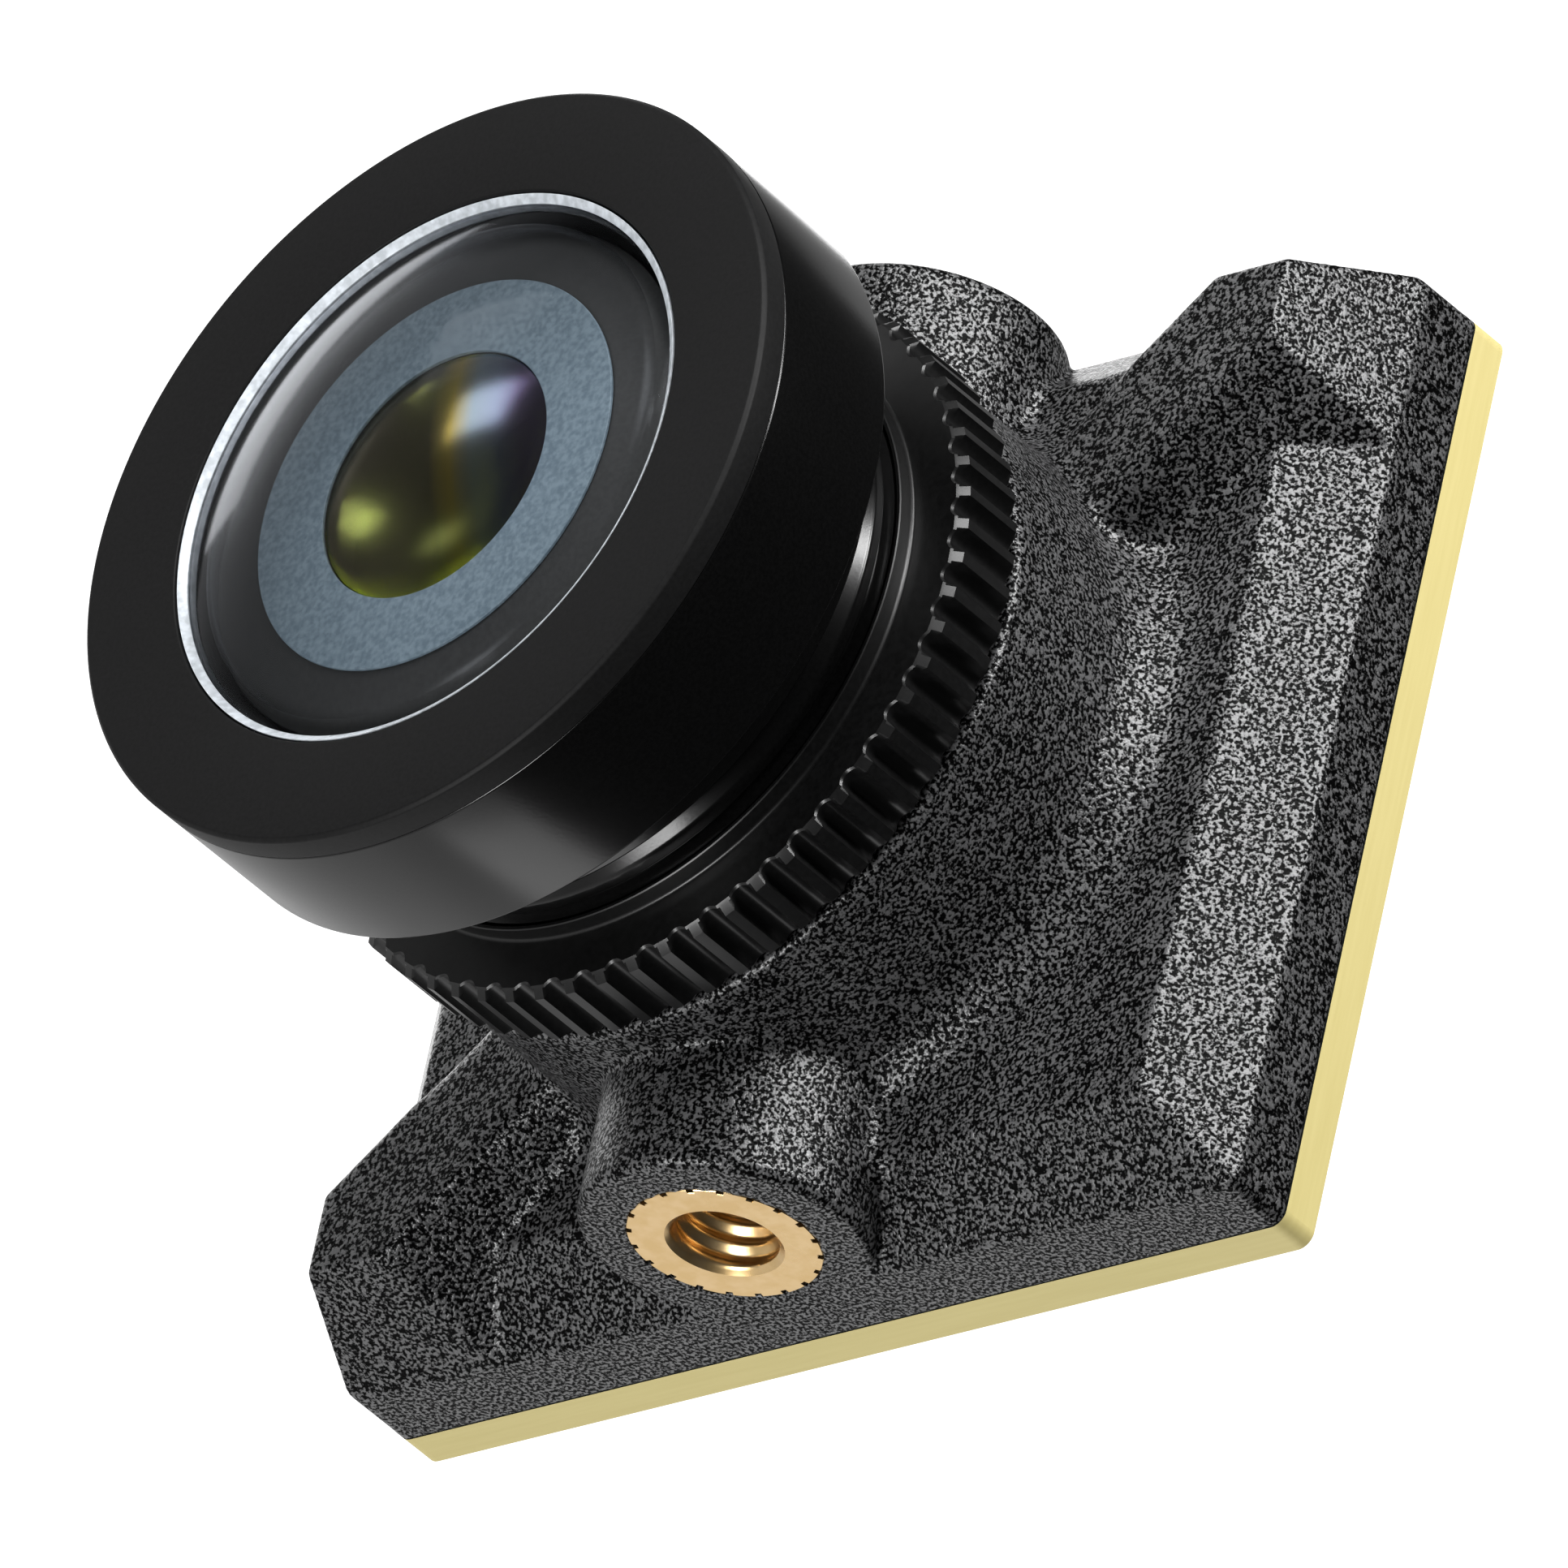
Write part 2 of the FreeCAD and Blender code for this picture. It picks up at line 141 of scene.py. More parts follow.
def finish_mesh(name, bm, material, body, sharp_deg=35.0):
    bmesh.ops.recalc_face_normals(bm, faces=bm.faces)
    mesh = bpy.data.meshes.new(name)
    bm.to_mesh(mesh)
    bm.free()
    mesh.transform(Matrix.Scale(MM, 4))
    for face in mesh.polygons:
        face.use_smooth = True
    mesh.set_sharp_from_angle(angle=math.radians(sharp_deg))
    for m in material if isinstance(material, (list, tuple)) else [material]:
        mesh.materials.append(m)
    piece = bpy.data.objects.new(name, mesh)
    bpy.context.scene.collection.objects.link(piece)
    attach(piece, body)
    return piece


def skin(bm, loops, closed=True):
    """Quads between neighbouring loops of points; closed joins the last loop to the first."""
    rows = [[bm.verts.new(p) for p in loop] for loop in loops]
    pairs = list(zip(rows, rows[1:]))
    if closed:
        pairs.append((rows[-1], rows[0]))
    for a, b in pairs:
        for i in range(len(a)):
            j = (i + 1) % len(a)
            bm.faces.new((a[i], a[j], b[j], b[i]))


def about_y(r, y, a):
    return Vector((r * math.cos(a), y, r * math.sin(a)))


def rounded(corners, radius, steps=4):
    """Profile of (r, y) corners with each corner turned into a small arc."""
    out = []
    count = len(corners)
    for i, corner in enumerate(corners):
        p = Vector(corner)
        a = Vector(corners[i - 1]) - p
        b = Vector(corners[(i + 1) % count]) - p
        cut = min(radius, a.length * 0.4, b.length * 0.4)
        start = p + a.normalized() * cut
        end = p + b.normalized() * cut
        for k in range(steps + 1):
            t = k / steps
            out.append(start * (1 - t) ** 2 + p * (2 * t * (1 - t)) + end * t * t)
    return out


def lathe(name, profile, material, body, sharp_deg=35.0):
    bm = bmesh.new()
    angles = [2 * math.pi * i / segments for i in range(segments)]
    skin(bm, [[about_y(p[0], p[1], a) for a in angles] for p in profile])
    return finish_mesh(name, bm, material, body, sharp_deg)


def cap_profile(r, y_rim, y_top, steps, inner=0.004):
    """Points of a spherical cap from rim to close by the axis."""
    sag = y_rim - y_top
    sphere = (r * r + sag * sag) / (2 * sag)
    centre = y_top + sphere
    points = []
    for k in range(steps + 1):
        q = r + (inner - r) * k / steps
        points.append((q, centre - math.copysign(math.sqrt(sphere * sphere - q * q), sphere)))
    return points


def thread_wave(turns):
    """0 at a crest, 1 at a root, with short flats on both."""
    t = abs((turns % 1.0) * 2 - 1)
    return min(1.0, max(0.0, (t - 0.1) / 0.8))


# ------------------------------------------------------------------ material helpers


def add(tree, kind, **values):
    n = tree.nodes.new(kind)
    for key, value in values.items():
        name = key.replace("_", " ")
        if name in n.inputs:
            n.inputs[name].default_value = value
        else:
            setattr(n, key, value)
    return n


def start(name, **values):
    material = bpy.data.materials.new(name)
    material.use_nodes = True
    tree = material.node_tree
    bsdf = tree.nodes["Principled BSDF"]
    for key, value in values.items():
        bsdf.inputs[key.replace("_", " ")].default_value = value
    position = add(tree, "ShaderNodeTexCoord").outputs["Object"]
    scale = add(tree, "ShaderNodeVectorMath", operation="SCALE")
    tree.links.new(position, scale.inputs[0])
    scale.inputs["Scale"].default_value = 1 / MM
    return material, tree, bsdf, scale.outputs[0]


def noise(tree, where, scale, detail=2.0, roughness=0.5):
    n = add(tree, "ShaderNodeTexNoise", Scale=scale, Detail=detail, Roughness=roughness)
    tree.links.new(where, n.inputs["Vector"])
    return n.outputs["Fac"]


def ramp(tree, fac, stops):
    n = add(tree, "ShaderNodeValToRGB")
    while len(n.color_ramp.elements) < len(stops):
        n.color_ramp.elements.new(0.5)
    for element, (place, colour) in zip(n.color_ramp.elements, stops):
        element.position = place
        element.color = (*colour, 1) if len(colour) == 3 else colour
    tree.links.new(fac, n.inputs["Fac"])
    return n.outputs["Color"]


def spread(tree, fac, low, high):
    n = add(tree, "ShaderNodeMapRange")
    n.inputs["To Min"].default_value = low
    n.inputs["To Max"].default_value = high
    tree.links.new(fac, n.inputs["Value"])
    return n.outputs["Result"]


def bump(tree, bsdf, height, strength, distance_mm):
    n = add(tree, "ShaderNodeBump", Strength=strength, Distance=distance_mm * MM)
    tree.links.new(height, n.inputs["Height"])
    tree.links.new(n.outputs["Normal"], bsdf.inputs["Normal"])


def grained(
    name,
    dark,
    light,
    scale,
    rough,
    strength,
    distance_mm,
    metallic=0.0,
    contrast=(0.35, 0.65),
    shine=(0.5, 0.5),
):
    """Material whose colour, gloss and relief follow one grain; shine is the gloss of hollows and grains."""
    material, tree, bsdf, where = start(name, Metallic=metallic)
    grain = noise(tree, where, scale, 2.0)
    tree.links.new(ramp(tree, grain, [(contrast[0], dark), (contrast[1], light)]), bsdf.inputs["Base Color"])
    gloss = ramp(tree, grain, [(contrast[0], (shine[0],) * 3), (contrast[1], (shine[1],) * 3)])
    tree.links.new(gloss, bsdf.inputs["Specular IOR Level"])
    cloud = noise(tree, where, 0.6, 3.0)
    tree.links.new(spread(tree, cloud, rough[0], rough[1]), bsdf.inputs["Roughness"])
    bump(tree, bsdf, grain, strength, distance_mm)
    return material


def grey(v):
    return (v, v, v * 1.02)


# ------------------------------------------------------------------ materials

sand_black = grained(
    "sand_black",
    grey(0.001),
    grey(0.08),
    14.0,
    (0.30, 0.38),
    1.0,
    0.026,
    contrast=(0.47, 0.60),
    shine=(0.03, 0.8),
)
satin_black = grained(
    "satin_black", grey(0.001), grey(0.002), 14.0, (0.17, 0.23), 0.15, 0.004, shine=(0.3, 0.3)
)
bezel_black = grained(
    "bezel_black", grey(0.005), grey(0.007), 12.0, (0.48, 0.56), 0.15, 0.004, shine=(0.12, 0.12)
)
ring_black = grained(
    "ring_black", grey(0.002), grey(0.004), 10.0, (0.30, 0.38), 0.10, 0.004, shine=(0.35, 0.35)
)
baffle_paint = grained(
    "baffle_paint", (0.09, 0.125, 0.155), (0.145, 0.19, 0.225), 9.0, (0.55, 0.65), 0.3, 0.02
)
inner_black = grained("inner_black", grey(0.010), grey(0.016), 10.0, (0.6, 0.7), 0.2, 0.01)
brass = grained("brass", (0.64, 0.44, 0.20), (0.70, 0.50, 0.26), 3.0, (0.22, 0.34), 0.12, 0.01, metallic=1.0)
chip_black = grained("chip_black", grey(0.016), grey(0.030), 16.0, (0.50, 0.62), 0.4, 0.01)
ferrite = grained("ferrite", grey(0.035), grey(0.060), 10.0, (0.55, 0.70), 0.5, 0.02)
tan_ceramic = grained("tan_ceramic", (0.30, 0.20, 0.12), (0.40, 0.29, 0.18), 8.0, (0.35, 0.5), 0.2, 0.01)
can_metal = grained(
    "can_metal", (0.50, 0.49, 0.46), (0.66, 0.65, 0.62), 5.0, (0.25, 0.38), 0.2, 0.01, metallic=1.0
)
tin = grained("tin", (0.62, 0.61, 0.58), (0.78, 0.77, 0.74), 6.0, (0.20, 0.36), 0.3, 0.02, metallic=1.0)
gold = grained("gold", (0.80, 0.56, 0.20), (0.90, 0.66, 0.28), 6.0, (0.20, 0.32), 0.15, 0.01, metallic=1.0)
screw_metal = grained("screw_metal", grey(0.05), grey(0.09), 8.0, (0.28, 0.4), 0.2, 0.01, metallic=1.0)
nylon = grained("nylon", (0.66, 0.63, 0.54), (0.74, 0.71, 0.62), 5.0, (0.40, 0.52), 0.2, 0.01)
foam = grained("foam", grey(0.010), grey(0.025), 7.0, (0.85, 0.95), 0.6, 0.05)
trace_black = grained(
    "trace_black", (0.020, 0.022, 0.020), (0.028, 0.031, 0.028), 4.0, (0.22, 0.3), 0.15, 0.01
)
silicon = grained(
    "silicon", (0.06, 0.05, 0.10), (0.10, 0.14, 0.16), 12.0, (0.1, 0.2), 0.1, 0.005, metallic=0.6
)


def board_material():
    """Bare glass-fibre edge with faint plies; black solder mask on the two faces."""
    material, tree, bsdf, where = start("board_edge_and_mask")
    plies = add(tree, "ShaderNodeMapping")
    plies.inputs["Scale"].default_value = (0.5, 9.0, 0.5)
    tree.links.new(where, plies.inputs["Vector"])
    layers = noise(tree, plies.outputs["Vector"], 1.0, 3.0)
    laminate = ramp(tree, layers, [(0.3, (0.53, 0.45, 0.18)), (0.7, (0.56, 0.48, 0.20))])
    normal = add(tree, "ShaderNodeNewGeometry").outputs["True Normal"]
    split = add(tree, "ShaderNodeSeparateXYZ")
    tree.links.new(normal, split.inputs[0])
    flat = add(tree, "ShaderNodeMath", operation="ABSOLUTE")
    tree.links.new(split.outputs["Y"], flat.inputs[0])
    face = add(tree, "ShaderNodeMath", operation="GREATER_THAN")
    face.inputs[1].default_value = 0.7
    tree.links.new(flat.outputs[0], face.inputs[0])
    mask = ramp(tree, noise(tree, where, 4.0), [(0.3, (0.008, 0.010, 0.010)), (0.7, (0.014, 0.017, 0.016))])
    mix = add(tree, "ShaderNodeMix", data_type="RGBA")
    tree.links.new(face.outputs[0], mix.inputs["Factor"])
    tree.links.new(laminate, mix.inputs["A"])
    tree.links.new(mask, mix.inputs["B"])
    tree.links.new(mix.outputs["Result"], bsdf.inputs["Base Color"])
    tree.links.new(spread(tree, face.outputs[0], 0.55, 0.28), bsdf.inputs["Roughness"])
    bump(tree, bsdf, noise(tree, where, 12.0), 0.15, 0.01)
    return material


def moulded_with_leads(name, node, lead_reach):
    """Black moulded package whose leads, past its two long sides, are tinned metal."""
    material, tree, bsdf, where = start(name)
    low, high = box_mm(node)
    split = add(tree, "ShaderNodeSeparateXYZ")
    tree.links.new(where, split.inputs[0])
    off = add(tree, "ShaderNodeMath", operation="SUBTRACT")
    off.inputs[1].default_value = (low.z + high.z) / 2
    tree.links.new(split.outputs["Z"], off.inputs[0])
    far = add(tree, "ShaderNodeMath", operation="ABSOLUTE")
    tree.links.new(off.outputs[0], far.inputs[0])
    lead = add(tree, "ShaderNodeMath", operation="GREATER_THAN")
    lead.inputs[1].default_value = (high.z - low.z) / 2 - lead_reach + 0.01
    tree.links.new(far.outputs[0], lead.inputs[0])
    grain = noise(tree, where, 16.0)
    plastic = ramp(tree, grain, [(0.35, grey(0.016)), (0.65, grey(0.030))])
    mix = add(tree, "ShaderNodeMix", data_type="RGBA")
    mix.inputs["B"].default_value = (0.70, 0.69, 0.66, 1)
    tree.links.new(lead.outputs[0], mix.inputs["Factor"])
    tree.links.new(plastic, mix.inputs["A"])
    tree.links.new(mix.outputs["Result"], bsdf.inputs["Base Color"])
    tree.links.new(lead.outputs[0], bsdf.inputs["Metallic"])
    tree.links.new(spread(tree, lead.outputs[0], 0.55, 0.28), bsdf.inputs["Roughness"])
    bump(tree, bsdf, grain, 0.4, 0.01)
    return material


def coated_glass(name, tint, coat, normal_reflection, roughness, gain, power=5.0, steep_clarity=1.0):
    """Glass that lets light through; each surface mirrors more the more it is seen edge-on.

    The colours in coat follow each other along coat_direction. Light that passes at a slant keeps only
    the share steep_clarity of the tint.
    """
    material, tree, bsdf, where = start(name)
    tree.nodes.remove(bsdf)
    out = tree.nodes["Material Output"]
    facing = add(tree, "ShaderNodeLayerWeight", Blend=0.5).outputs["Facing"]
    clear = add(tree, "ShaderNodeBsdfTransparent")
    steep_tint = tuple(c * steep_clarity for c in tint)
    tree.links.new(ramp(tree, facing, [(0.2, tint), (0.5, steep_tint)]), clear.inputs["Color"])
    mirror = add(tree, "ShaderNodeBsdfGlossy", Roughness=roughness)
    across = add(tree, "ShaderNodeVectorMath", operation="DOT_PRODUCT")
    across.inputs[1].default_value = coat_direction
    tree.links.new(where, across.inputs[0])
    reach = spread(tree, across.outputs["Value"], 0.0, 1.0)
    reach.node.inputs["From Min"].default_value = coat_start
    reach.node.inputs["From Max"].default_value = coat_start + coat_step * len(coat)
    stops = [(k / len(coat), colour) for k, colour in enumerate(coat)]
    tree.links.new(ramp(tree, reach, stops), mirror.inputs["Color"])
    steep = add(tree, "ShaderNodeMath", operation="POWER")
    steep.inputs[1].default_value = power
    tree.links.new(facing, steep.inputs[0])
    share = add(tree, "ShaderNodeMath", operation="MULTIPLY_ADD", use_clamp=True)
    share.inputs[1].default_value = (1 - normal_reflection) * gain
    share.inputs[2].default_value = normal_reflection * gain
    tree.links.new(steep.outputs[0], share.inputs[0])
    mix = add(tree, "ShaderNodeMixShader")
    tree.links.new(share.outputs[0], mix.inputs[0])
    tree.links.new(clear.outputs[0], mix.inputs[1])
    tree.links.new(mirror.outputs[0], mix.inputs[2])
    tree.links.new(mix.outputs[0], out.inputs["Surface"])
    return material


board_laminate = board_material()
regulator_finish = moulded_with_leads("regulator_finish", "voltage_regulator", 0.6)
memory_finish = moulded_with_leads("memory_finish", "memory_chip", 0.6)
pale_coat = [(0.86, 0.88, 0.92), (0.84, 0.87, 0.93)]
green_coat = [(0.80, 0.86, 0.22), (0.25, 0.28, 0.12)]
violet_coat = [
    (0.25, 0.22, 0.16),
    (0.95, 0.72, 0.20),
    (0.66, 0.78, 0.90),
    (0.66, 0.74, 1.0),
    (0.50, 0.40, 0.70),
]
red_coat = [(0.9, 0.4, 0.4), (0.85, 0.4, 0.5)]
front_glass = coated_glass("front_glass", (0.97, 0.98, 0.985), pale_coat, 0.001, 0.10, 1.3, 6.0)
haze_glass = coated_glass("haze_glass", (0.97, 0.98, 0.99), pale_coat, 0.004, 0.26, 0.9, 7.0, 0.6)
# painted shade: this glass passes only 2% of the light, so the coated element shows as a dark pupil, standing
# in for the shade deep inside the lens; its green coat still mirrors the lamps
green_glass_painted_shade = coated_glass("green_glass_painted_shade", (0.02, 0.02, 0.02), green_coat, 0.06, 0.26, 2.0)
violet_glass = coated_glass("violet_glass", (0.9, 0.9, 0.9), violet_coat, 0.06, 0.18, 4.0)
clear_glass = coated_glass("clear_glass", (0.93, 0.95, 0.96), pale_coat, 0.04, 0.03, 1.0)
filter_glass = coated_glass("filter_glass", (0.60, 0.78, 0.80), red_coat, 0.04, 0.03, 2.0)
ground_edge = grained("ground_edge", (0.42, 0.45, 0.48), (0.60, 0.64, 0.68), 6.0, (0.20, 0.32), 0.2, 0.01)


def paint(material, *names):
    for n in names:
        nodes[n].data.materials.clear()
        nodes[n].data.materials.append(material)


paint(board_laminate, "circuit_board")
paint(chip_black, "image_processor", "sensor_package")
paint(ferrite, "power_inductor")
paint(can_metal, "crystal_oscillator")
paint(regulator_finish, "voltage_regulator")
paint(memory_finish, "memory_chip")
paint(nylon, "connector_shell")
paint(tin, *["connector_pin_%d" % (i + 1) for i in range(6)])
paint(screw_metal, "board_screw_upper", "board_screw_lower")
paint(silicon, "sensor_die")
paint(clear_glass, "sensor_cover_glass", "third_element", "rear_element")
paint(filter_glass, "infrared_filter")
paint(foam, "dust_gasket", "lock_ring_washer")
paint(inner_black, "front_spacer", "spacer_ring", "aperture_stop", "rear_spacer", "rear_retainer")

# ------------------------------------------------------------------ moulded housing


def moulded_housing():
    """The housing with the soft edges and blended roots of a moulding."""
    voxel = 0.06
    insert_clear = insert_r + 0.25
    bore_clear = 6.35
    board_clear = board_front - 0.25
    tube_root_r = 8.0
    root_reach = 1.7
    root_fade = 0.8
    root_back = 0.8
    kept_share = 0.35
    bm = bmesh.new()
    bm.from_mesh(nodes["front_housing"].data)
    bm.transform(Matrix.Scale(1 / MM, 4))
    bmesh.ops.remove_doubles(bm, verts=bm.verts, dist=0.0005)
    mesh = bpy.data.meshes.new("moulding")
    bm.to_mesh(mesh)
    bm.free()
    work = bpy.data.objects.new("moulding", mesh)
    bpy.context.scene.collection.objects.link(work)
    remesh = work.modifiers.new("remesh", "REMESH")
    remesh.mode = "VOXEL"
    remesh.voxel_size = voxel
    graph = bpy.context.evaluated_depsgraph_get()
    dense = bpy.data.meshes.new_from_object(work.evaluated_get(graph))
    bpy.data.objects.remove(work)
    soft = bpy.data.objects.new("soft", dense)
    bpy.context.scene.collection.objects.link(soft)
    group = soft.vertex_groups.new(name="soft")
    root = soft.vertex_groups.new(name="root")
    for v in dense.vertices:
        x, y, z = v.co
        near_insert = math.hypot(y, z) < insert_clear
        near_bore = math.hypot(x, z) < bore_clear
        near_board = y > board_clear
        from_root = abs(math.hypot(x, z) - tube_root_r) + abs(y) * 0.5
        blend = max(0.0, min(1.0, (root_reach - from_root) / root_fade))
        root.add([v.index], blend if y < root_back else 0.0, "REPLACE")
        group.add([v.index], 0.0 if near_insert or near_bore or near_board else 1.0, "REPLACE")
    for name, turns in (("soft", 10), ("root", 120)):
        smooth = soft.modifiers.new(name, "SMOOTH")
        smooth.factor = 0.5
        smooth.iterations = turns
        smooth.vertex_group = name
    thin = soft.modifiers.new("thin", "DECIMATE")
    thin.ratio = kept_share
    graph = bpy.context.evaluated_depsgraph_get()
    final = bpy.data.meshes.new_from_object(soft.evaluated_get(graph))
    bpy.data.objects.remove(soft)
    for v in final.vertices:
        v.co.x = max(housing_low.x, min(housing_high.x, v.co.x))
        v.co.y = max(housing_low.y, min(housing_high.y, v.co.y))
        v.co.z = max(housing_low.z, min(housing_high.z, v.co.z))
    bm = bmesh.new()
    bm.from_mesh(final)
    piece = finish_mesh("moulded_housing", bm, sand_black, "camera_body", 80.0)
    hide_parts("front_housing")
    return piece


moulded_housing()

# ------------------------------------------------------------------ brass inserts


def threaded_insert(name, node, turned):
    """Knurled brass insert along +X with an M2 thread inside; turned is its angle about Z."""
    knurls = 20
    notch_half = 0.065 / insert_r
    notch_d = 0.09
    flank = 0.004
    land_points = 8
    step = 2 * math.pi / knurls
    one = [
        (-notch_half - flank, 0.0),
        (-notch_half, notch_d),
        (notch_half, notch_d),
        (notch_half + flank, 0.0),
    ]
    gap = step - 2 * (notch_half + flank)
    one += [(notch_half + flank + gap * k / land_points, 0.0) for k in range(1, land_points)]
    samples = [(step * n + a, depth) for n in range(knurls) for a, depth in one]
    count = len(samples)
    mouth_r = 1.04
    mouth_flare = 0.05
    mouth_depth = 0.06
    bore_r = 1.0
    pitch = 0.4
    crest = 0.14
    run_out = 0.4
    thread_start = 0.1
    thread_end = 0.02
    x0 = insert_low.x
    x1 = insert_high.x

    def outer(i):
        return insert_r - samples[i][1]

    def loop(x, radius):
        out = []
        for i in range(count):
            a = samples[i][0]
            r = radius(i)
            out.append(Vector((x, r * math.cos(a), r * math.sin(a))))
        return out

    edge = 0.015
    loops = [loop(x0, lambda i: outer(i) - edge), loop(x0 + edge, outer)]
    loops.append(loop(x1 - edge, outer))
    loops.append(loop(x1, lambda i: outer(i) - edge))
    loops.append(loop(x1, lambda i: mouth_r + mouth_flare))
    loops.append(loop(x1 - mouth_depth, lambda i: mouth_r - 0.02))
    steps = 80
    for k in range(steps + 1):
        x = x1 - thread_start + (x0 + thread_end - x1 + thread_start) * k / steps
        fade = min(1.0, (x1 - x) / run_out)

        def threaded(i):
            turns = x / pitch - samples[i][0] / (2 * math.pi)
            return bore_r - crest * fade * (1 - thread_wave(turns))

        loops.append(loop(x, threaded))
    loops.append(loop(x0, lambda i: bore_r))
    bm = bmesh.new()
    skin(bm, loops)
    bm.transform(Matrix.Rotation(turned, 4, "Z"))
    piece = finish_mesh(name, bm, brass, "camera_body", 40.0)
    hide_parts(node)
    return piece


threaded_insert("threaded_insert_right", "insert_right", 0.0)
threaded_insert("threaded_insert_left", "insert_left", math.pi)

# ------------------------------------------------------------------ lens barrel, bezel and baffle


def lens_barrel():
    bm = bmesh.new()
    front = rounded(
        [
            (cup_r, bezel_back),
            (head_r, bezel_back),
            (head_r, head_back),
            (collar_r, head_back),
            (collar_r, collar_back),
            (relief_r, collar_back),
            (relief_r, relief_back),
            (barrel_r, relief_back + 0.3),
            (barrel_r, groove_front - 0.1),
            (barrel_r - thread_depth, groove_front),
            (barrel_r - thread_depth, groove_back),
        ],
        0.05,
    )
    # the rounding of the first corner looks back to the last one, so both ends are restated
    front = [Vector((cup_r, bezel_back))] + front[5:-5] + [Vector((barrel_r - thread_depth, groove_back))]
    angles = [2 * math.pi * i / segments for i in range(segments)]
    loops = [[about_y(p[0], p[1], a) for a in angles] for p in front]
    thread_back = barrel_end - thread_end_gap
    rows = int((thread_back - thread_front) / thread_pitch * thread_rows_per_turn)
    for k in range(rows + 1):
        y = thread_front + (thread_back - thread_front) * k / rows
        fade = min(1.0, (y - thread_front) / thread_run_out)
        row = []
        for i, a in enumerate(angles):
            cut = thread_depth * fade * thread_wave(-y / thread_pitch - i / segments)
            row.append(about_y(barrel_r - cut, y, a))
        loops.append(row)
    tail = [
        (barrel_r - 0.25, barrel_end),
        (rear_bore_r, barrel_end),
        (rear_bore_r, rear_bore_floor),
        (stop_bore_r, rear_bore_floor),
        (stop_bore_r, cell_bore_floor),
        (cell_bore_r, cell_bore_floor),
        (cell_bore_r, cup_floor),
        (cup_r, cup_floor),
    ]
    loops += [[about_y(r, y, a) for a in angles] for r, y in tail]
    skin(bm, loops)
    piece = finish_mesh("threaded_lens_barrel", bm, satin_black, "lens_barrel")
    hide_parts("lens_barrel")
    return piece


lens_barrel()
bezel = lathe(
    "lens_bezel_ring",
    rounded(
        [
            (glass_open_r, head_front),
            (head_r - bezel_chamfer, head_front),
            (head_r, head_front + bezel_chamfer),
            (head_r, bezel_back),
            (glass_open_back_r, bezel_back),
            (glass_open_back_r, head_front + glass_open_depth),
        ],
        0.03,
    ),
    bezel_black,
    "lens_barrel",
)
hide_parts("front_bezel")
baffle = lathe(
    "painted_baffle_ring",
    rounded(
        [
            (pupil_r, baffle_y),
            (baffle_r, baffle_y),
            (baffle_r, baffle_y + baffle_thick),
            (pupil_r, baffle_y + baffle_thick),
        ],
        0.02,
    ),
    baffle_paint,
    "lens_barrel",
)
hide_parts("baffle_ring")
cell = lathe(
    "black_lens_cell",
    rounded(
        [
            (pupil_r, cell_front),
            (baffle_r + 0.02, cell_front),
            (cell_r, cell_shoulder),
            (cell_r, cell_back),
            (3.3, cell_back),
            (2.75, cell_back - 0.05),
        ],
        0.03,
    ),
    inner_black,
    "lens_barrel",
)

# ------------------------------------------------------------------ glass


def closed_lens(name, outer, inner, front, back, node):
    """Lens from its front profile and back profile, each from rim to axis, with a coating on each."""
    bm = bmesh.new()
    angles = [2 * math.pi * i / segments for i in range(segments)]
    skin(bm, [[about_y(r, y, a) for a in angles] for r, y in outer + inner[::-1]])
    bm.faces.ensure_lookup_table()
    back_start = (len(outer) - 1) * segments
    back_end = (len(outer) + len(inner) - 1) * segments
    for i in range(back_start, back_end):
        bm.faces[i].material_index = 1
    piece = finish_mesh(name, bm, [front, back], "lens_optics", 50.0)
    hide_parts(node)
    return piece


closed_lens(
    "front_meniscus",
    [(glass_seat_inner_r, glass_seat), (glass_r, glass_seat), (glass_r, glass_land)]
    + cap_profile(dome_r, dome_rim, dome_top, 24),
    cap_profile(hollow_r, hollow_rim, hollow_top, 24),
    front_glass,
    haze_glass,
    "dome_glass",
)
rim = lathe(
    "ground_glass_edge",
    rounded(
        [(ground_r - 0.16, -11.36), (ground_r, -11.48), (ground_r, -11.3), (ground_r - 0.1, -11.24)],
        0.02,
    ),
    ground_edge,
    "lens_optics",
)
# the back face of this element is the nearly opaque green glass: a dark sheet of painted shade that fills the
# pupil
closed_lens(
    "coated_element",
    cap_profile(element_r, element_rim, element_top, 16),
    cap_profile(element_r, element_back_rim, element_bottom, 16),
    violet_glass,
    green_glass_painted_shade,
    "second_element",
)

# ------------------------------------------------------------------ fluted lock ring


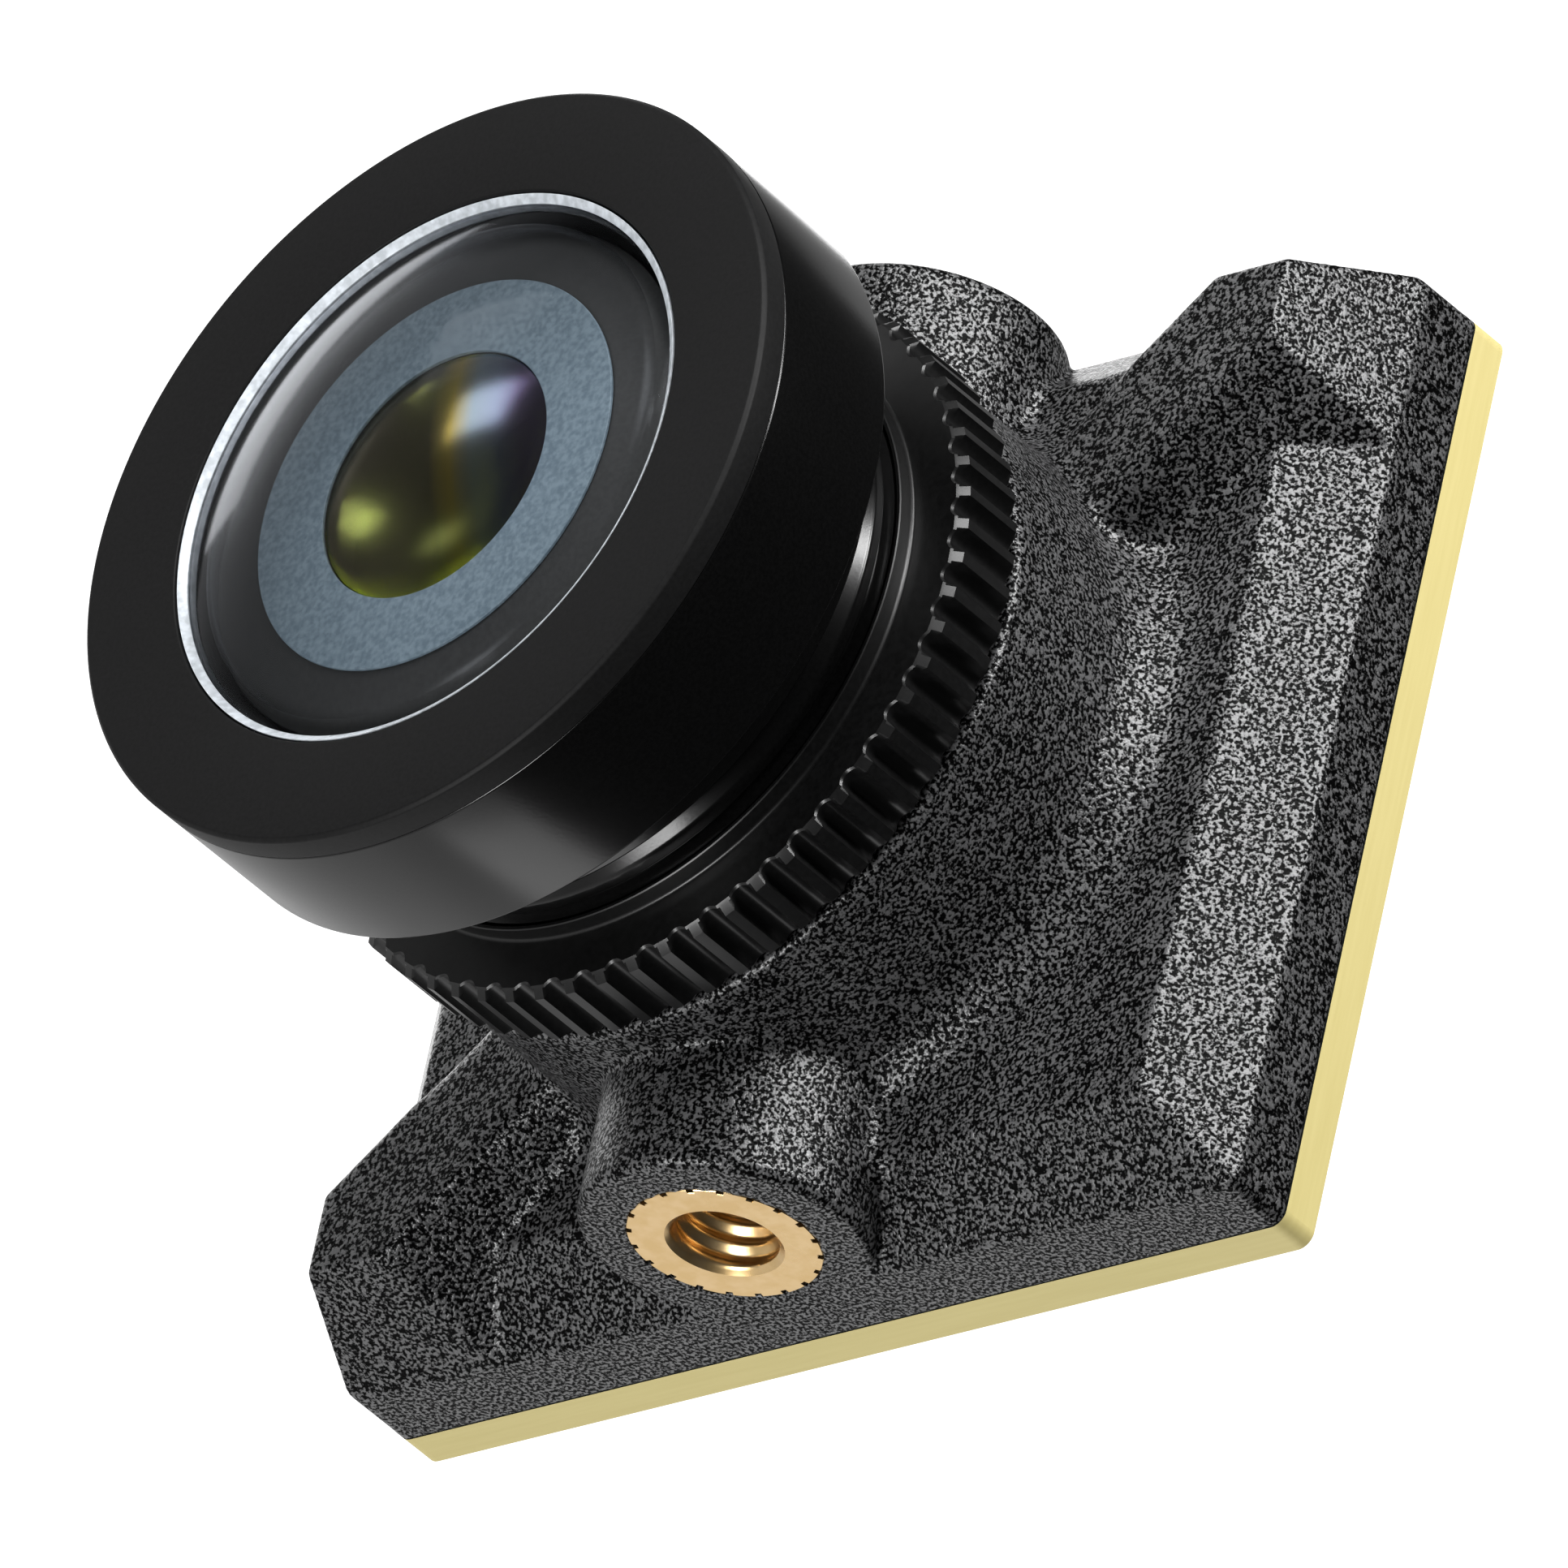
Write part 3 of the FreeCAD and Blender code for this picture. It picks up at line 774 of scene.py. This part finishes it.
def fluted_ring():
    flutes = 63
    per_flute = 14
    flute_r = 0.22
    flute_centre = 7.2
    count = flutes * per_flute
    step = 2 * math.pi / flutes
    chamfer = 0.16
    hub_r = 6.08
    bore_r = 6.0
    fillet = 0.08
    fillet_steps = 6

    def flute(i):
        """Outer radius: the land, or the bottom of a round groove."""
        off = abs((i % per_flute) / per_flute - 0.5) * step * flute_centre
        if off >= flute_r:
            return ring_r
        return flute_centre - math.sqrt(flute_r * flute_r - off * off)

    def loop(y, radius):
        return [about_y(radius(i), y, 2 * math.pi * i / count) for i in range(count)]

    def land(limit, inset=0.0):
        return lambda i: min(flute(i) - inset, limit)

    edge = 0.04
    loops = [loop(ring_back, lambda i: bore_r)]
    loops.append(loop(ring_back, land(ring_r - chamfer - edge, edge)))
    loops.append(loop(ring_back - edge, land(ring_r - chamfer)))
    loops.append(loop(ring_back - chamfer, land(ring_r)))
    loops.append(loop(ring_front + chamfer, land(ring_r)))
    loops.append(loop(ring_front + edge, land(ring_r - chamfer)))
    loops.append(loop(ring_front, land(ring_r - chamfer - edge, edge)))
    for k in range(fillet_steps + 1):
        a = math.pi / 2 * k / fillet_steps
        r = hub_r + fillet * (1 - math.sin(a))
        y = ring_front - fillet * (1 - math.cos(a))
        loops.append(loop(y, lambda i, r=r: r))
    loops.append(loop(hub_front + 0.02, lambda i: hub_r))
    loops.append(loop(hub_front, lambda i: hub_r - 0.02))
    loops.append(loop(hub_front, lambda i: bore_r))
    bm = bmesh.new()
    skin(bm, loops)
    piece = finish_mesh("fluted_lock_ring", bm, ring_black, "lock_ring", 30.0)
    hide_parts("lock_ring")
    return piece


fluted_ring()

# ------------------------------------------------------------------ board details


def add_block(bm, low, high, bevel, index=0):
    centre = (Vector(low) + Vector(high)) / 2
    size = Vector(high) - Vector(low)
    place = Matrix.Translation(centre) @ Matrix.Diagonal((*size, 1))
    made = bmesh.ops.create_cube(bm, size=1, matrix=place)["verts"]
    edges = {e for v in made for e in v.link_edges}
    cut = bmesh.ops.bevel(bm, geom=list(edges), offset=bevel, segments=2, affect="EDGES", profile=0.5)
    faces = {f for v in cut["verts"] for f in v.link_faces}
    for f in faces:
        f.material_index = index


def chip_passive(node, body_material):
    """Ceramic body, tinned ends and the solder fillets that hold them."""
    low, high = box_mm(node)
    along_x = (high.x - low.x) > (high.z - low.z)
    axis = 0 if along_x else 2
    cap = 0.22 * (high[axis] - low[axis])
    inset = 0.02
    drop = 0.04
    solder_reach = 0.16
    solder_climb = 0.35
    bm = bmesh.new()
    a = Vector(low) + Vector((inset, 0.0, inset))
    b = Vector(high) - Vector((inset, drop, inset))
    a[axis] = low[axis] + cap * 0.9
    b[axis] = high[axis] - cap * 0.9
    add_block(bm, a, b, 0.03, 0)
    for end in (0, 1):
        a = Vector(low)
        b = Vector(high)
        if end:
            a[axis] = high[axis] - cap
        else:
            b[axis] = low[axis] + cap
        add_block(bm, a, b, 0.05, 1)
        a = Vector(low)
        b = Vector(high)
        b.y = low.y + (high.y - low.y) * solder_climb
        if end:
            a[axis] = high[axis] - inset
            b[axis] = high[axis] + solder_reach
        else:
            b[axis] = low[axis] + inset
            a[axis] = low[axis] - solder_reach
        add_block(bm, a, b, 0.07, 1)
    piece = finish_mesh(node + "_soldered", bm, [body_material, tin], "camera_body", 40.0)
    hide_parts(node)
    return piece


for i in range(4):
    chip_passive("capacitor_%d" % (i + 1), tan_ceramic)
    chip_passive("resistor_%d" % (i + 1), chip_black)


def copper_under_mask():
    """Raised tracks under the solder mask, laid in right-angled runs by a seeded walk."""
    draw = random.Random(11)
    bm = bmesh.new()
    tracks = 46
    runs = 3
    shortest = 0.6
    longest = 3.0
    margin = 0.7
    lift = 0.025
    sunk = 0.005
    half = 0.06
    limit_x = board_half_x - margin
    limit_z = board_half_z - margin
    for _ in range(tracks):
        x = draw.uniform(-limit_x, limit_x)
        z = draw.uniform(-limit_z, limit_z)
        for run in range(runs):
            length = draw.uniform(shortest, longest) * draw.choice((-1, 1))
            along = run % 2 == 0
            x1 = max(-limit_x, min(limit_x, x + (length if along else 0)))
            z1 = max(-limit_z, min(limit_z, z + (0 if along else length)))
            low = (min(x, x1) - half, board_back - sunk, min(z, z1) - half)
            high = (max(x, x1) + half, board_back + lift, max(z, z1) + half)
            add_block(bm, low, high, 0.01)
            x = x1
            z = z1
    piece = finish_mesh("board_tracks", bm, trace_black, "camera_body", 40.0)
    return piece


def gold_pads():
    """Bare gold lands: the via rings, the test pads and the screw lands."""
    draw = random.Random(5)
    bm = bmesh.new()
    lift = 0.03
    vias = 36
    via_x = 8.2
    via_low = -9
    via_high = 9.2
    screw_x = 7.55
    screw_z = 8.3
    test_pads = 4
    test_x = 3.2
    test_z = 9.0
    test_pitch = 1.1

    def ring(x, z, inner, outer):
        loops = []
        for r, y in ((inner, 0), (outer, 0), (outer, lift * 0.6), (outer - 0.02, lift), (inner, lift)):
            angles = [2 * math.pi * k / 24 for k in range(24)]
            loops.append([Vector((x + r * math.cos(a), board_back + y, z + r * math.sin(a))) for a in angles])
        skin(bm, loops)

    for _ in range(vias):
        ring(draw.uniform(-via_x, via_x), draw.uniform(via_low, via_high), inner=0.08, outer=0.2)
    for side in (-1, 1):
        ring(side * screw_x, -side * screw_z, inner=0.85, outer=1.4)
    for k in range(test_pads):
        ring(test_x + test_pitch * k, test_z, inner=0.02, outer=0.4)
    piece = finish_mesh("gold_pads", bm, gold, "camera_body", 40.0)
    return piece


copper_under_mask()
gold_pads()

# ------------------------------------------------------------------ camera

right = Vector((-0.18675, 0.61643, 0.76494))
down = Vector((0.84501, 0.49794, -0.19497))
ahead = Vector((-0.50108, 0.60997, -0.61389))
origin_right_mm = 0.72697
origin_down_mm = 0.10077
origin_ahead_mm = 928.94
camera_data = bpy.data.cameras.new("camera")
camera_data.sensor_width = 36
camera_data.lens = 1200
camera_data.clip_start = 0.01
camera_data.clip_end = 10
camera = bpy.data.objects.new("camera", camera_data)
bpy.context.scene.collection.objects.link(camera)
turn = Matrix((right, -down, -ahead)).transposed().to_4x4()
away = right * origin_right_mm + down * origin_down_mm + ahead * origin_ahead_mm
camera.matrix_world = Matrix.Translation(-away * MM) @ turn
bpy.context.scene.camera = camera

# ------------------------------------------------------------------ lights, floor and world


def softbox(name, direction, distance_mm, side_mm, radiance):
    data = bpy.data.lights.new(name, "AREA")
    data.shape = "RECTANGLE"
    data.size = side_mm * MM
    data.size_y = side_mm * MM
    data.energy = radiance * math.pi * data.size * data.size_y
    lamp = bpy.data.objects.new(name, data)
    bpy.context.scene.collection.objects.link(lamp)
    d = Vector(direction).normalized()
    lamp.location = d * distance_mm * MM
    lamp.rotation_mode = "QUATERNION"
    lamp.rotation_quaternion = d.to_track_quat("Z", "Y")


# name, direction from the object, distance, side, radiance
softbox("key_light", (-0.58, -0.70, 0.42), 160, 55, 24)
softbox("top_light", (-0.50, -0.02, 0.87), 160, 40, 32)
softbox("top_front_light", (-0.496, -0.372, 0.785), 160, 36, 46)
softbox("upper_left_light", (-0.66, -0.65, -0.38), 117, 30, 3.6)
softbox("low_back_light", (-0.66, 0.22, -0.72), 85, 66, 2.4)
softbox("right_front_light", (0.76, -0.65, 0.0), 160, 50, 26)
softbox("back_side_light", (0.76, 0.61, -0.21), 160, 50, 2)


def camera_sees(tree, seen, lights):
    """Strength that is one value where the camera sees the studio itself, and another for its light."""
    path = add(tree, "ShaderNodeLightPath")
    return spread(tree, path.outputs["Is Camera Ray"], lights, seen)


def stage_floor():
    half_m = 1.5
    drop_mm = 90.0
    grid = 24
    glow_from = -60.0
    glow_to = 110.0
    bm = bmesh.new()
    bmesh.ops.create_grid(bm, x_segments=grid, y_segments=grid, size=half_m)
    mesh = bpy.data.meshes.new("floor")
    bm.to_mesh(mesh)
    bm.free()
    floor = bpy.data.objects.new("floor", mesh)
    floor.location.z = -drop_mm * MM
    bpy.context.scene.collection.objects.link(floor)
    material, tree, bsdf, where = start("pale_floor_painted_glow", Roughness=0.9)
    pale = ramp(tree, noise(tree, where, 0.002, 2.0), [(0.3, (0.24, 0.24, 0.24)), (0.7, (0.26, 0.26, 0.26))])
    tree.links.new(pale, bsdf.inputs["Base Color"])
    bsdf.inputs["Emission Color"].default_value = (1, 1, 1, 1)
    # painted light: the floor is no lamp, yet it glows onto the object; its glow is a painted gradient,
    # bright behind the object and dim in front of it, as under a shaded strip light that the scene does not
    # have; the camera sees the floor evenly bright
    along = add(tree, "ShaderNodeVectorMath", operation="DOT_PRODUCT")
    along.inputs[1].default_value = (0.6, 0.8, 0.0)
    tree.links.new(where, along.inputs[0])
    glow = spread(tree, along.outputs["Value"], 0.03, 0.85)
    glow.node.inputs["From Min"].default_value = glow_from
    glow.node.inputs["From Max"].default_value = glow_to
    seen = camera_sees(tree, 1.2, 0.0)
    tree.links.new(glow, seen.node.inputs["To Min"])
    tree.links.new(seen, bsdf.inputs["Emission Strength"])
    mesh.materials.append(material)


stage_floor()
world = bpy.data.worlds.new("studio")
bpy.context.scene.world = world
world.use_nodes = True
world.node_tree.nodes["Background"].inputs["Color"].default_value = (1, 1, 1, 1)
strength = camera_sees(world.node_tree, 1.2, 0.05)
world.node_tree.links.new(strength, world.node_tree.nodes["Background"].inputs["Strength"])
bpy.context.scene.view_settings.view_transform = "Standard"
